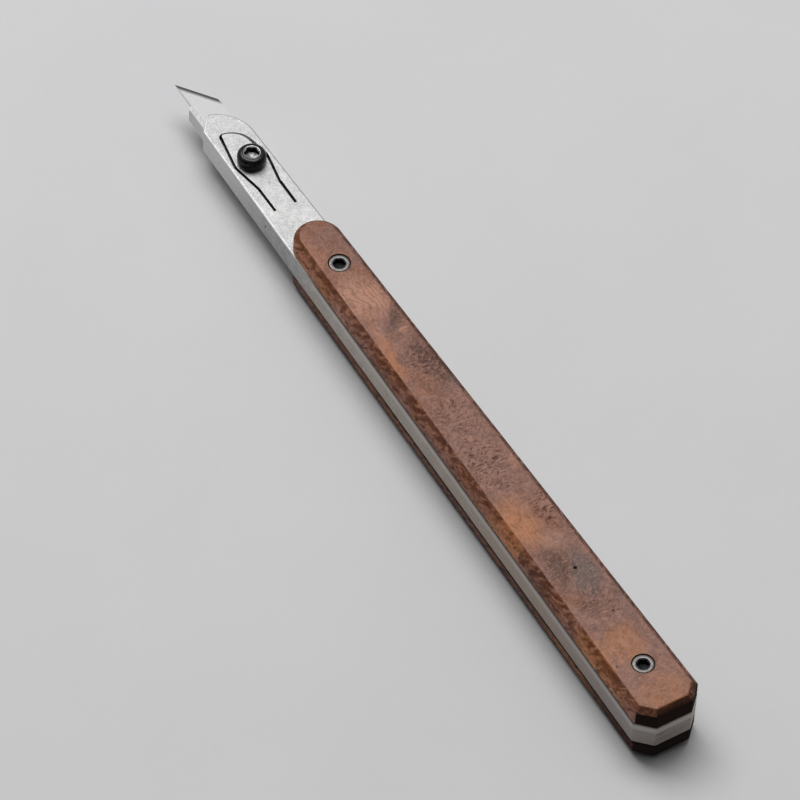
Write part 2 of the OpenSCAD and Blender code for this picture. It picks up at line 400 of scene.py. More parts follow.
CLOUDS = (
    (MAUVE_CLOUDS, WOOD_MAUVE),
    (PALE_CLOUDS, WOOD_PALE),
    (ORANGE_CLOUDS, WOOD_ORANGE),
    (GREY_CLOUDS, WOOD_GREY),
    (SHADE_CLOUDS, WOOD_SHADE),
)
print("placed clouds:", sum(len(clouds) for clouds, tint in CLOUDS))

# %% Spots and bent coordinates
# Noise seldom strays far from its middle, so its push is made larger
NOISE_REACH = 4


def soft_spot(tree, place, spot, solid=0.3):
    """A mask that is strongest at a spot's centre and fades to 0 at its half size, from above."""
    centre, size, turn, strength = spot
    local = add(tree, "ShaderNodeMapping", vector_type="TEXTURE")
    local.inputs["Location"].default_value = Vector((*centre, 0)) * MM
    local.inputs["Rotation"].default_value = (0, 0, math.radians(turn))
    local.inputs["Scale"].default_value = (size[0] * MM, size[1] * MM, 1)
    join(tree, place, (local, "Vector"))
    length = add(tree, "ShaderNodeVectorMath", operation="LENGTH")
    join(tree, (local, "Vector"), (length, 0))
    return range_of(tree, (length, "Value"), 1.0, solid, 0.0, strength)


def spots(tree, place, clouds):
    """One mask for a list of clouds."""
    return strongest(tree, [soft_spot(tree, place, cloud) for cloud in clouds])


def bend(tree, place, size, reach):
    """Coordinates pushed about by noise of this size, by about this reach, in mm."""
    noise = add(tree, "ShaderNodeTexNoise", {"Scale": 1 / (size * MM), "Detail": 2.0})
    join(tree, place, (noise, "Vector"))
    centred = add(tree, "ShaderNodeVectorMath", operation="SUBTRACT")
    centred.inputs[1].default_value = (0.5, 0.5, 0.5)
    join(tree, (noise, "Color"), (centred, 0))
    push = add(tree, "ShaderNodeVectorMath", operation="MULTIPLY_ADD")
    push.inputs[1].default_value = Vector((1, 1, 1)) * NOISE_REACH * reach * MM
    join(tree, (centred, "Vector"), (push, 0))
    join(tree, place, (push, 2))
    return push, "Vector"


print("one soft spot's half size in mm:", PALE_CLOUDS[0][1])

# %% Cloudy colours
RIGHT_SIDE = (-1.5, -5)


def wood_clouds(tree, place, bent):
    """The wood's colour seen from a step away."""
    colour = mix_colours(tree, mottled(tree, bent, 5, 0.16), WOOD_BROWN, WOOD_MAUVE)
    right_side = between(tree, (parts_of(tree, place), "Y"), RIGHT_SIDE, 0.0, 0.6)
    colour = mix_colours(tree, right_side, colour, WOOD_MAUVE)
    for clouds, tint in CLOUDS:
        colour = mix_colours(tree, spots(tree, bent, clouds), colour, tint)
    return colour


print("kinds of cloud:", len(CLOUDS))

# %% [markdown]
# ## The wood's figure
# A burl grows in knots, so its fibres curl where other wood runs straight. Here and there
# they swirl in lines, short dark pores lie in drifts, and a few worm holes show.
# A scan of real wood would repeat, and it would stop at its own size. Noise that is bent by
# noise curls at any size, so two curls lie over each other, and the pores are noise that is
# stretched along one direction.

# %% Curls, swirls, pores and worm holes
WOOD_PORE = (0.070, 0.023, 0.015, 1)
HOLE_AND_SHADE_BLACK = (0.012, 0.006, 0.004, 1)
# Each curl is a size in mm, a contrast, and the shares of its dark and of its light
CURLS = ((1.6, 0.22, 0.38, 0.24), (0.45, 0.2, 0.3, 0.2))
# A bend is a size and a reach in mm
CURL_BEND = (1.8, 0.4)
SWIRL = {"Scale": 330, "Distortion": 7, "Detail": 2, "Detail Scale": 0.8}
SWIRL_SHARE = 0.36
PORE_TURN = (0, 0, math.radians(-72))
PORE_SIZE = (0.9, 0.36, 0.36)
SWIRLS = [
    ((20, 0), (8, 6), 0, 1),
    ((11, 1), (5, 4), 0, 0.7),
    ((-40, 1), (6, 5), 0, 0.5),
]
PORE_DRIFTS = [
    ((-24, 0.8), (12, 6), 0, 0.75),
    ((-12, 0), (9, 6), 0, 0.65),
    ((-37, -3.2), (7, 2.6), 0, 0.9),
    ((-60, 0), (8, 5), 0, 0.5),
    ((1, -1.5), (8, 5), 0, 0.65),
    ((-50, 1), (5, 4), 0, 0.5),
]
WORM_HOLES = [
    ((-51.3, -0.7), (0.45, 0.45), 0, 1),
    ((-62.6, -1.6), (0.45, 0.25), 40, 0.7),
    ((-73.3, 4.4), (0.35, 0.25), 0, 0.6),
]


def stretched_noise(tree, place, turn, size, detail):
    """Noise whose marks have this size in mm, turned by these angles."""
    local = add(tree, "ShaderNodeMapping", vector_type="TEXTURE")
    local.inputs["Rotation"].default_value = turn
    local.inputs["Scale"].default_value = Vector(size) * MM
    join(tree, place, (local, "Vector"))
    noise = add(tree, "ShaderNodeTexNoise", {"Scale": 1.0, "Detail": detail})
    join(tree, (local, "Vector"), (noise, "Vector"))
    return noise, "Fac"


def wood_figure(tree, place, bent, colour):
    """Adds the fine figure to a colour. Gives the colour and the mask of the dark marks."""
    curled = bend(tree, bent, *CURL_BEND)
    for size, contrast, dark, light in CURLS:
        curl = mottled(tree, curled, size, contrast)
        colour = mix_colours(tree, range_of(tree, curl, 0.5, 1.0, 0.0, dark), colour, WOOD_SHADE)
        colour = mix_colours(tree, range_of(tree, curl, 0.5, 0.0, 0.0, light), colour, WOOD_PALE)

    lines = add(tree, "ShaderNodeTexWave", SWIRL, bands_direction="Y")
    join(tree, bent, (lines, "Vector"))
    line_share = range_of(tree, (lines, "Fac"), 0.5, 1.0, 0.0, SWIRL_SHARE)
    line_share = times(tree, line_share, spots(tree, bent, SWIRLS))
    colour = mix_colours(tree, line_share, colour, WOOD_SHADE)

    grain = stretched_noise(tree, curled, PORE_TURN, PORE_SIZE, 1.5)
    drifts = range_of(tree, spots(tree, bent, PORE_DRIFTS), 0.0, 1.0, 0.1, 0.8)
    pores = times(tree, range_of(tree, grain, 0.5, 0.66), drifts)
    colour = mix_colours(tree, range_of(tree, grain, 0.46, 0.32, 0.0, 0.3), colour, WOOD_PALE)
    colour = mix_colours(tree, pores, colour, WOOD_PORE)
    holes = strongest(tree, [soft_spot(tree, place, hole, 0.6) for hole in WORM_HOLES])
    colour = mix_colours(tree, holes, colour, HOLE_AND_SHADE_BLACK)
    return colour, maths(tree, "MAXIMUM", pores, holes)


print("pore drifts:", len(PORE_DRIFTS), "worm holes:", len(WORM_HOLES))

# %% [markdown]
# ## Wear and painted light on the wood
# The flat faces are waxed. The upright sides are dry and painted paler, a painted light for
# the light they lack, and slanting streaks show there, since they cut across the fibres. A
# dark band just below the ridge is painted shade, and so is the greyer right slope. The end
# grain at the butt has drunk so much oil that it is nearly black. The lower scale is greyer
# and darker all over, with painted shadow along the steel, along its foot and at the butt.
# Marks like these could be drawn into a texture, but they follow from where a point is and
# which way it faces. So they are worked out from those two, and one function serves both scales.

# %% Painted shade on the slopes and streaks on the sides
SIDE_PAINTED_LIGHT = (2.0, 2.3, 2.8, 1)
# Distances below the ridge in mm
SHADE_BAND_STARTS = (0.02, 0.25)
SHADE_BAND_THINS = (1.4, 0.5)
SIDE_SLANT = (0, math.radians(35), 0)
STREAK_SIZE = (3.2, 0.8, 0.8)
SHADE_BAND_GAPS = [
    ((-39, 6.4), (8, 3), 0, 0.9),
    ((34, 6.2), (5, 3), 0, 0.6),
    ((15, 6.4), (3, 3), 0, 0.4),
    ((-64, 6.4), (3.5, 3), 0, 0.5),
]


def shade_band_and_side_light(tree, colour, bent, facing, steep, below):
    """Painted shade below the ridge and on the right slope, and upright sides painted paler as painted
    light.
    """
    # A dark band just below the ridge is painted shade, left out at a few listed spots
    shade_band = times(
        tree,
        between(tree, below, SHADE_BAND_STARTS, 0.0, 0.6),
        between(tree, below, SHADE_BAND_THINS, 0.15, 1.0),
        maths(tree, "SUBTRACT", 1.0, spots(tree, bent, SHADE_BAND_GAPS)),
    )
    colour = mix_colours(tree, shade_band, colour, WOOD_SHADE)
    # The right slope is painted greyer, a painted shade
    to_right = range_of(tree, times(tree, (facing, "Y"), -1.0), 0.3, 0.65, 0.0, 0.8)
    right_slope_shade = times(tree, to_right, range_of(tree, steep, 0.15, 0.45))
    colour = mix_colours(tree, right_slope_shade, colour, WOOD_GREY)
    # The upright sides are painted paler, a painted light for the light they lack
    upright = range_of(tree, steep, 0.6, 0.1)
    return mix_colours(tree, upright, colour, SIDE_PAINTED_LIGHT, "MULTIPLY")


def side_streaks(tree, colour, bent, steep):
    """Slanting streaks and dark patches on the sides and slopes."""
    streaks = stretched_noise(tree, bent, SIDE_SLANT, STREAK_SIZE, 3.0)
    patches = range_of(tree, mottled(tree, bent, 2.6, 0.2), 0.55, 1.0, 0.0, 0.45)
    sides = range_of(tree, steep, 0.95, 0.75)
    dark = maths(tree, "MAXIMUM", range_of(tree, streaks, 0.5, 0.66, 0.0, 0.7), patches)
    light = range_of(tree, streaks, 0.5, 0.32, 0.0, 0.5)
    colour = mix_colours(tree, times(tree, sides, dark), colour, WOOD_SHADE)
    return mix_colours(tree, times(tree, sides, light), colour, WOOD_PALE)


print("gaps in the oil:", len(SHADE_BAND_GAPS))

# %% End grain, a greyer lower scale and painted shadow
END_GRAIN = (0.019, 0.009, 0.006, 1)
WOOD_GREYED = (0.060, 0.058, 0.056, 1)
MIDDLE_Z = (cad_low.z + cad_high.z) / 2
RIDGE = cad_high.z - MIDDLE_Z
SEAM = MIDDLE_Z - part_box("lower_scale")[1].z
# Distances below the ridge, from the steel and along the knife, in mm
END_SOAKED = (0.02, 1.1)
FOOT_DARK = (1.9, 1.2)
STEEL_DARK = (0.95, 0.55)
STEEL_FADES = (18, 0)
BUTT_DARK = (-62, -80)


def dark_places(tree, colour, facing, spot, away, below, depth):
    """Soaked end grain, and a greyer tone and painted shadow that grow with depth."""
    end_grain = times(
        tree,
        range_of(tree, times(tree, (facing, "X"), -1.0), 0.35, 0.7),
        between(tree, below, END_SOAKED, 0.45, 1.0),
    )
    colour = mix_colours(tree, end_grain, colour, END_GRAIN)
    # Painted shadow, as deep as depth allows: under the steel's edge, at the foot and towards the butt
    from_steel = maths(tree, "SUBTRACT", away, SEAM)
    near_steel = times(
        tree,
        between(tree, from_steel, STEEL_DARK, 0.0, 2.1 * depth),
        between(tree, (spot, "X"), STEEL_FADES, 0.4, 1.0),
    )
    near_butt = between(tree, (spot, "X"), BUTT_DARK, 0.0, 1.5 * depth)
    near_foot = between(tree, below, FOOT_DARK, 0.0, 1.7 * depth)
    painted_shadow = strongest(tree, [near_steel, near_butt, near_foot])
    # With depth the wood turns greyer and darker all over
    colour = mix_colours(tree, depth, colour, WOOD_GREYED)
    return mix_colours(tree, painted_shadow, colour, HOLE_AND_SHADE_BLACK)


print("ridge and seam from the middle in mm:", round(RIDGE / MM, 2), round(SEAM / MM, 2))

# %% Wood materials
WAX_COAT = 0.38
LOWER_SHIFT = 23
LOWER_DARKENING = 0.46
CLOUD_BEND = (7, 1.2)


def figured_wood(name, shift, depth):
    """A scale's wood, its figure moved along the knife by shift mm, greyed and given painted shadow by
    depth.
    """
    material, tree, shader, coordinates = new_material(name)
    moved = add(tree, "ShaderNodeMapping", {"Location": (shift * MM, 0, 0)})
    join(tree, (coordinates, "Object"), (moved, "Vector"))
    place = (moved, "Vector")
    bent = bend(tree, place, *CLOUD_BEND)
    colour, marks = wood_figure(tree, place, bent, wood_clouds(tree, place, bent))

    facing = parts_of(tree, (coordinates, "Normal"))
    spot = parts_of(tree, (coordinates, "Object"))
    steep = maths(tree, "ABSOLUTE", (facing, "Z"))
    away = maths(tree, "ABSOLUTE", maths(tree, "SUBTRACT", (spot, "Z"), MIDDLE_Z))
    below = maths(tree, "SUBTRACT", RIDGE, away)
    colour = shade_band_and_side_light(tree, colour, bent, facing, steep, below)
    colour = side_streaks(tree, colour, bent, steep)
    colour = dark_places(tree, colour, facing, spot, away, below, depth)
    join(tree, colour, (shader, "Base Color"))

    # The flat faces are waxed, the sides and the end grain are dry
    flat = range_of(tree, steep, 0.8, 0.98)
    waxed = times(tree, flat, maths(tree, "SUBTRACT", 1.0, marks))
    join(tree, times(tree, waxed, WAX_COAT), (shader, "Coat Weight"))
    join(tree, range_of(tree, waxed, 0.0, 1.0, 1.0, 0.5), (shader, "Roughness"))
    shader.inputs["Coat Roughness"].default_value = 0.4
    shader.inputs["Specular IOR Level"].default_value = 0.12
    raise_relief(tree, shader, marks, 0.35, 0.04, invert=True)
    print(name, "nodes:", len(tree.nodes))
    return material


upper_wood = figured_wood("upper_scale_wood", 0, 0.0)
lower_wood = figured_wood("lower_scale_wood", LOWER_SHIFT, LOWER_DARKENING)

# %% [markdown]
# ## Tumbled steel
# The plates are tumbled stainless: pale and matt, with a fine grain of tiny dents and a few
# hairlines. Their sides are painted darker and warmer towards the butt and paler at the nose,
# a painted reflection of the floor and the wood, and the left edge at the nose gets a painted
# highlight. Beside the wood the sides get a painted highlight in a band, with painted shade above.
# A picture of steel would bring the light of its own room along. Masks at three sizes, in
# shares that are easy to change, give the grain under any light, and the painted light and
# shade are placed along the knife in mm.

# %% Grain of the plates
GRAIN_SIZE = 0.35
PLATE_PALE = (0.505, 0.502, 0.50, 1)
PLATE_GREY = (0.275, 0.272, 0.27, 1)
# Each mottle is a size in mm, a contrast and a share of the grey
BLOTCHES = ((4, 0.22, 0.2), (1.3, 0.14, 0.24))
GRAIN_SHARE = 0.38

plate_steel, tree, shader, coordinates = new_material("tumbled_steel")
place = (coordinates, "Object")
grain = mottled(tree, place, GRAIN_SIZE, 0.2)
hairlines = maths(
    tree,
    "MAXIMUM",
    scratched(tree, place, 0.5, 3, 0.06),
    scratched(tree, place, -0.8, 2, 0.05),
)
grey_share = times(tree, grain, GRAIN_SHARE)
for size, contrast, share in BLOTCHES:
    blotch = mottled(tree, place, size, contrast)
    grey_share = maths(tree, "ADD", grey_share, times(tree, blotch, share))
colour = mix_colours(tree, grey_share, PLATE_PALE, PLATE_GREY)

shader.inputs["Metallic"].default_value = 1.0
rough = range_of(tree, grain, 0.0, 1.0, 0.52, 0.62)
join(tree, maths(tree, "ADD", rough, times(tree, hairlines, -0.06)), (shader, "Roughness"))
height = maths(tree, "SUBTRACT", grain, times(tree, hairlines, 0.5))
raise_relief(tree, shader, height, 0.25, 0.02)
print("sizes of the grain in mm:", GRAIN_SIZE, [size for size, contrast, share in BLOTCHES])

# %% Painted shade and light on the sides, and the ground butt
PLATE_SIDE_LIGHT = (0.66, 0.655, 0.65, 1)
PLATE_SIDE_SHADE = (0.34, 0.296, 0.275, 1)
PLATE_MARK_AND_SHADE = (0.100, 0.085, 0.075, 1)
WARM_LIFT = (1.17, 1.09, 0.99, 1)
# Places along the knife in mm
SIDE_SHADED = (30, -60)
SIDE_LIT = (42, 66)
WARM_FRONT = (38, 28)
WARM_REAR = (-80, -45)

spot = parts_of(tree, place)
facing = parts_of(tree, (coordinates, "Normal"))
steep = maths(tree, "ABSOLUTE", (facing, "Z"))
side = range_of(tree, steep, 0.7, 0.3)
# The sides are painted darker towards the butt and paler at the nose, a painted reflection of the
# floor that the knife shades
side_shade = times(tree, side, between(tree, (spot, "X"), SIDE_SHADED, 0.0, 0.9))
side_light = times(tree, side, between(tree, (spot, "X"), SIDE_LIT, 0.0, 0.9))
colour = mix_colours(tree, side_shade, colour, PLATE_SIDE_SHADE)
colour = mix_colours(tree, side_light, colour, PLATE_SIDE_LIGHT)
# A painted warm reflection of the wood on the sides along the handle
warm = times(tree, side, between(tree, (spot, "X"), WARM_FRONT), between(tree, (spot, "X"), WARM_REAR))
colour = mix_colours(tree, warm, colour, WARM_LIFT, "MULTIPLY")

# The butt's end keeps the marks of the belt that ground it
butt = range_of(tree, times(tree, (facing, "X"), -1.0), 0.4, 0.8, 0.0, 0.55)
belt_marks = times(tree, butt, scratched(tree, place, math.pi / 2, 5, 0.15))
colour = mix_colours(tree, belt_marks, colour, PLATE_MARK_AND_SHADE)
print("sides dulled from x in mm:", SIDE_SHADED[0], "and clean from:", SIDE_LIT[0])

# %% Worn edges, painted highlights and painted shade
PLATE_EDGE = (0.85, 0.845, 0.835, 1)
PLATE_HIGHLIGHT = (0.98, 0.975, 0.97, 1)
TONGUE_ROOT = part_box("clamp_tongue")[0].x
# Places along the knife in mm
EDGE_BRIGHTENS = (28, 40)
LEDGE_DARKENS = (31, 28)
HIGHLIGHT_AT = (30, 42)
BESIDE_WOOD = (33, 28)
# Distances from the tongue's root and heights in mm
ROOT_CLEAR = (0.1, 0.3)
BAND_HEIGHT = (7.4, 8.1)
SEAM_SHADE_HEIGHT = (8.6, 9.35)

# Edges are worn bright, and the same mask is a painted highlight along them, but not where
# the tongue grows out of the plate, nor along the wood
from_root = maths(tree, "ABSOLUTE", maths(tree, "SUBTRACT", (spot, "X"), TONGUE_ROOT))
worn_and_glinting = times(
    tree,
    worn(tree, 0.18, 0.2),
    between(tree, from_root, ROOT_CLEAR, 0.0, 0.5),
    between(tree, (spot, "X"), EDGE_BRIGHTENS, 0.3, 1.0),
)
colour = mix_colours(tree, worn_and_glinting, colour, PLATE_EDGE)
# Along the wood the narrow step beside the scale is painted dark, a painted shade in the corner
level = range_of(tree, steep, 0.75, 0.95)
ledge_shade = times(tree, level, between(tree, (spot, "X"), LEDGE_DARKENS, 0.0, 0.8))
colour = mix_colours(tree, ledge_shade, colour, PLATE_MARK_AND_SHADE)

# A painted highlight on the rounded edge on the left at the nose
nose_highlight = times(
    tree,
    range_of(tree, steep, 0.15, 0.4),
    range_of(tree, steep, 0.985, 0.9),
    range_of(tree, (facing, "Y"), 0.05, 0.3),
    between(tree, (spot, "X"), HIGHLIGHT_AT, 0.0, 0.9),
)
colour = mix_colours(tree, nose_highlight, colour, PLATE_HIGHLIGHT)

# Beside the wood the sides get a painted highlight in a band, and painted shade above it
beside = between(tree, (spot, "X"), BESIDE_WOOD)
band = times(tree, between(tree, (spot, "Z"), BAND_HEIGHT, 0.0, 0.35), beside, side)
colour = mix_colours(tree, band, colour, PLATE_SIDE_LIGHT)
seam_shade = times(tree, between(tree, (spot, "Z"), SEAM_SHADE_HEIGHT, 0.0, 0.85), beside)
colour = mix_colours(tree, seam_shade, colour, PLATE_MARK_AND_SHADE)
join(tree, colour, (shader, "Base Color"))
print("tumbled steel nodes:", len(tree.nodes))

# %% [markdown]
# ## Wire-cut steel
# The slit round the tongue is cut by a thin wire and sparks, which leave its walls sooty
# and dark. They are painted near black, partly that finish and partly painted shade inside
# the narrow slit. Round the tongue's slanting tip they are painted pale, a painted light.
# The slit is so narrow that shade alone would almost do, but from the side its walls show,
# so they get this painted shade of their own.

# %% Walls of the slit
CUT_DARK_AND_SHADE = (0.012, 0.012, 0.013, 1)
CUT_GREY = (0.05, 0.048, 0.047, 1)
CUT_PAINTED_LIGHT = (0.42, 0.417, 0.415, 1)
LIT_X = (61, 62.5)
LIT_Y = (1.6, 0.9)

cut_steel, tree, shader, coordinates = new_material("wire_cut_steel")
soot = mottled(tree, (coordinates, "Object"), 0.3, 0.2)
# The walls are painted near black, partly their dark finish and partly painted shade inside the slit
colour = mix_colours(tree, soot, CUT_DARK_AND_SHADE, CUT_GREY)
spot = parts_of(tree, (coordinates, "Object"))
# Round the tongue's slanting tip the walls are painted pale, a painted light where the key does not
# reach them
lit_walls = times(tree, between(tree, (spot, "X"), LIT_X), between(tree, (spot, "Y"), LIT_Y))
join(tree, mix_colours(tree, lit_walls, colour, CUT_PAINTED_LIGHT), (shader, "Base Color"))
join(tree, range_of(tree, lit_walls, 0.0, 1.0, 0.6, 0.1), (shader, "Metallic"))
join(tree, range_of(tree, soot, 0.0, 1.0, 0.5, 0.7), (shader, "Roughness"))
print("wire-cut steel nodes:", len(tree.nodes))

# %% [markdown]
# ## Ground steel
# The blade is ground smoother than the plates, with fine lines across its length. Its bevel
# is painted dark along the cutting edge and pale towards the flat, a painted shade and
# reflection, and its narrow sides are painted bright, a painted highlight.
# The bevel could be its own piece, but then it would need a seam. A distance from the
# cutting edge, measured inwards from the tip, shades it without one.

# %% Blade steel
BLADE_PALE = (0.38, 0.377, 0.38, 1)
BLADE_LINE = (0.33, 0.327, 0.335, 1)
BEVEL_DARK = (0.13, 0.128, 0.13, 1)
BEVEL_PALE = (0.70, 0.697, 0.70, 1)
SIDE_BRIGHT = (0.80, 0.795, 0.79, 1)
BEVEL_WIDTH = 1.2 * MM
EDGE_ANGLE = math.radians(37)
GRIND_ANGLE = math.radians(62)
blade_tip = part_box("blade")[1]

blade_steel, tree, shader, coordinates = new_material("ground_blade_steel")
place = (coordinates, "Object")
grind = scratched(tree, place, GRIND_ANGLE, 6, 0.045)
colour = mix_colours(tree, times(tree, grind, 0.6), BLADE_PALE, BLADE_LINE)

from_tip = add(tree, "ShaderNodeVectorMath", operation="SUBTRACT")
from_tip.inputs[1].default_value = blade_tip
join(tree, place, (from_tip, 0))
inwards = add(tree, "ShaderNodeVectorMath", operation="DOT_PRODUCT")
inwards.inputs[1].default_value = (-math.sin(EDGE_ANGLE), math.cos(EDGE_ANGLE), 0)
join(tree, (from_tip, "Vector"), (inwards, 0))
# The bevel is painted dark at the edge and pale inwards, a painted shade and reflection
fade = range_of(tree, (inwards, "Value"), 0.35 * BEVEL_WIDTH, BEVEL_WIDTH)
bevel_colour = mix_colours(tree, fade, BEVEL_DARK, BEVEL_PALE)
steep = maths(tree, "ABSOLUTE", (parts_of(tree, (coordinates, "Normal")), "Z"))
colour = mix_colours(tree, range_of(tree, steep, 0.995, 0.96), colour, bevel_colour)
# The narrow sides are painted bright, a painted highlight
colour = mix_colours(tree, range_of(tree, steep, 0.5, 0.2), colour, SIDE_BRIGHT)
join(tree, colour, (shader, "Base Color"))
shader.inputs["Metallic"].default_value = 1.0
smoke = mottled(tree, place, 2.5, 0.25)
join(tree, range_of(tree, smoke, 0.0, 1.0, 0.42, 0.5), (shader, "Roughness"))
raise_relief(tree, shader, grind, 0.15, 0.01)
print("blade tip in mm:", [round(v / MM, 2) for v in blade_tip])

# %% [markdown]
# ## Screw finishes
# All the screws are blackened. The handle screws were sanded flush with the wood, so their
# faces are bright and their sockets stayed black. The clamp screw has a thin oily shine. Its
# edges, its socket's mouth and the socket's floor are painted paler, partly wear from keys
# and partly painted highlights and reflections.
# Bright and black could be two materials on chosen faces. A mask by height or by radius
# does the same and fades softly, as rubbing does.

# %% Blackened handle screws with sanded faces
SANDED_PALE = (0.185, 0.176, 0.166, 1)
SANDED_GREY = (0.12, 0.113, 0.106, 1)
SCREW_BLACK = (0.014, 0.014, 0.016, 1)
SANDED_FROM = 0.05 * MM
SANDED_FULL = 0.01 * MM


def sanded_screw(name, axis_x, low, high):
    """Black screws whose outer faces, at the heights low and high, were sanded bright."""
    material, tree, shader, coordinates = new_material(name)
    centred = add(tree, "ShaderNodeMapping", {"Location": (-axis_x, 0, 0)})
    join(tree, (coordinates, "Object"), (centred, "Vector"))
    hairs = scratched(tree, (centred, "Vector"), 0.9, 1.5, 0.07)
    smoke = mottled(tree, (centred, "Vector"), 0.6, 0.2)
    share = maths(tree, "MAXIMUM", hairs, times(tree, smoke, 0.6))
    bright = mix_colours(tree, share, SANDED_PALE, SANDED_GREY)
    height = (parts_of(tree, (coordinates, "Object")), "Z")
    top = range_of(tree, height, high - SANDED_FROM, high - SANDED_FULL)
    bottom = range_of(tree, height, low + SANDED_FROM, low + SANDED_FULL)
    face = maths(tree, "MAXIMUM", top, bottom)
    join(tree, mix_colours(tree, face, SCREW_BLACK, bright), (shader, "Base Color"))
    join(tree, range_of(tree, face, 0.0, 1.0, 0.35, 1.0), (shader, "Metallic"))
    shader.inputs["Specular IOR Level"].default_value = 0.12
    join(tree, range_of(tree, share, 0.0, 1.0, 0.45, 0.58), (shader, "Roughness"))
    raise_relief(tree, shader, share, 0.12, 0.01)
    print(name, "nodes:", len(tree.nodes))
    return material


print("sanded from mm below a face:", SANDED_FROM / MM)

# %% Black oxide
OXIDE_BLACK = (0.010, 0.010, 0.011, 1)
OXIDE_GREY = (0.035, 0.035, 0.037, 1)
OXIDE_WORN_AND_GLINT = (0.20, 0.20, 0.205, 1)
MOUTH_BARE_AND_GLINT = (0.50, 0.495, 0.485, 1)
SOCKET_BARE_AND_GLINT = (0.15, 0.148, 0.145, 1)
# Radii from the screw's axis and depths below its head, in mm
MOUTH_RADIUS = (1.66, 1.56)
MOUTH_DEPTH = (0.24, 0.16)
FLOOR_RADIUS = (1.5, 1.42)
FLOOR_START = (1.3, 1.38)
FLOOR_END = (1.9, 1.8)
head_low, head_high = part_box("clamp_screw")


def axis_of(node):
    """The X of a round node's upright axis."""
    low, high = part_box(node)
    return (low.x + high.x) / 2


CLAMP_AXIS = axis_of("clamp_screw")
black_oxide, tree, shader, coordinates = new_material("black_oxide")
bloom = mottled(tree, (coordinates, "Object"), 0.5, 0.2)
colour = mix_colours(tree, bloom, OXIDE_BLACK, OXIDE_GREY)
# Worn edges are painted paler, partly wear and partly a painted highlight
colour = mix_colours(tree, times(tree, worn(tree, 0.14, 0.3), 0.5), colour, OXIDE_WORN_AND_GLINT)

from_axis = add(tree, "ShaderNodeMapping", {"Location": (-CLAMP_AXIS, 0, 0), "Scale": (1, 1, 0)})
join(tree, (coordinates, "Object"), (from_axis, "Vector"))
length = add(tree, "ShaderNodeVectorMath", operation="LENGTH")
join(tree, (from_axis, "Vector"), (length, 0))
radius = (length, "Value")
depth = maths(tree, "SUBTRACT", head_high.z, (parts_of(tree, (coordinates, "Object")), "Z"))
# The socket's mouth and floor are painted bright, partly worn to steel by keys and partly a painted
# reflection
mouth = times(tree, between(tree, radius, MOUTH_RADIUS), between(tree, depth, MOUTH_DEPTH, 0.0, 0.8))
low_in = times(tree, between(tree, depth, FLOOR_START), between(tree, depth, FLOOR_END))
socket_floor = times(tree, low_in, between(tree, radius, FLOOR_RADIUS))
colour = mix_colours(tree, mouth, colour, MOUTH_BARE_AND_GLINT)
join(tree, mix_colours(tree, socket_floor, colour, SOCKET_BARE_AND_GLINT), (shader, "Base Color"))
shader.inputs["Metallic"].default_value = 0.8
join(tree, range_of(tree, bloom, 0.0, 1.0, 0.22, 0.34), (shader, "Roughness"))
print("materials:", sorted(m.name for m in bpy.data.materials))

# %% [markdown]
# ## Softened solids
# The solids already have the right shape, but their edges are mathematically sharp, and a
# real edge always catches a line of light. A copy of each solid is merged, its coplanar
# triangles are dissolved, and its edges are bevelled. A Bevel modifier would round them all
# alike. Here each pass picks its own edges, because edges where two pieces meet flush stay
# as they are.

# %% Finishing a piece
CREASE = math.radians(50)


def finish_piece(shape, name, node, materials):
    """Makes a bmesh the piece that stands for a node, riding on the node's body."""
    mesh = bpy.data.meshes.new(name)
    for face in shape.faces:
        face.smooth = True
    for edge in shape.edges:
        edge.smooth = len(edge.link_faces) == 2 and edge.calc_face_angle() < CREASE
    shape.to_mesh(mesh)
    shape.free()
    for material in materials:
        mesh.materials.append(material)
    piece = bpy.data.objects.new(name, mesh)
    bpy.context.scene.collection.objects.link(piece)
    normals = piece.modifiers.new("flat faces stay flat", "WEIGHTED_NORMAL")
    normals.keep_sharp = True
    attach(piece, frame["nodes"][node]["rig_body"])
    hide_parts(node)
    print(name, "faces:", len(mesh.polygons))
    return piece


print("creased from degrees:", round(math.degrees(CREASE)))

# %% Softening a solid
SHARP = math.radians(28)
COPLANAR = math.radians(0.5)
MERGE = 0.002 * MM


def softened(node, passes):
    """A merged copy of a node's solid. passes are (test of an edge, width in mm, segments)."""
    shape = bmesh.new()
    shape.from_mesh(frame["nodes"][node].data)
    bmesh.ops.remove_doubles(shape, verts=shape.verts[:], dist=MERGE)
    bmesh.ops.dissolve_limit(
        shape,
        angle_limit=COPLANAR,
        verts=shape.verts[:],
        edges=shape.edges[:],
    )
    for wanted, width, segments in passes:
        inner = [e for e in shape.edges if len(e.link_faces) == 2]
        edges = [e for e in inner if e.calc_face_angle() > SHARP and wanted(e)]
        bmesh.ops.bevel(
            shape,
            geom=edges,
            offset=width * MM,
            offset_type="OFFSET",
            affect="EDGES",
            segments=segments,
            profile=0.5,
            clamp_overlap=False,
            material=-1,
        )
    return shape


print("softened from degrees:", round(math.degrees(SHARP)))

# %% [markdown]
# ## The scales
# A scale is sawn, bevelled and then sanded by hand, which rounds every outer edge a little.
# The edges of the screw holes and of the face on the steel stay sharp, because sandpaper
# doesn't reach them. Three segments of bevel are enough for an edge to catch the light.

# %% Wood scales
REAR_AXIS = axis_of("rear_handle_screw")
FRONT_AXIS = axis_of("front_handle_screw")
BORE_REACH = 2.4 * MM
FLUSH_REACH = 0.05 * MM
SANDED_EDGE = 0.2


def middle(edge):
    """Middle of an edge."""
    return (edge.verts[0].co + edge.verts[1].co) / 2


def at_bore(edge):
    """Whether an edge belongs to the bore of a handle screw."""
    spot = middle(edge)
    return min(math.hypot(spot.x - axis, spot.y) for axis in (REAR_AXIS, FRONT_AXIS)) < BORE_REACH


